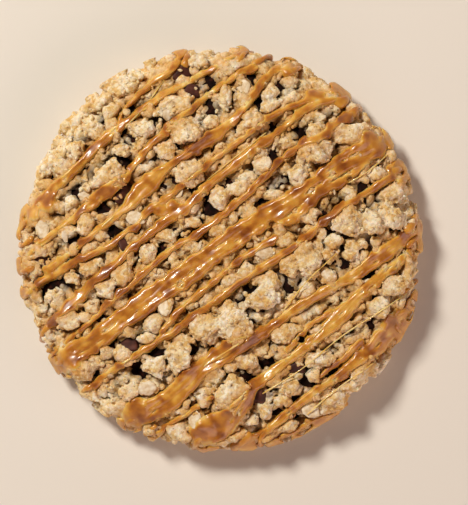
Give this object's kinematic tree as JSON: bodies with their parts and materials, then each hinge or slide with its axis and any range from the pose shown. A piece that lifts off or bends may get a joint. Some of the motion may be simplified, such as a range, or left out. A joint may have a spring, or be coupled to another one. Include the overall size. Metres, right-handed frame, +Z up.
{
  "type": "oatmeal cookie",
  "caption": "Thick round oatmeal cookie with a flat underside, covered in oat crumble nuggets and draped with diagonal strands of caramel drizzle that run over its rim",
  "frame": {"origin": "centre of the flat underside that the cookie rests on", "axes": "+Z is up through the cookie's thickness; +X points to the right and +Y to the top of the cookie as it is seen from above, so the drizzle runs from +X +Y to -X -Y"},
  "size_m": [0.105, 0.103, 0.0224],
  "materials": {
    "baked_crumb": null,
    "caramel": null,
    "chocolate": "dark chocolate chips low in the crumble, softly glossy"
  },
  "bodies": {
    "root": {"cookie": "baked_crumb"}
  },
  "joints": []
}
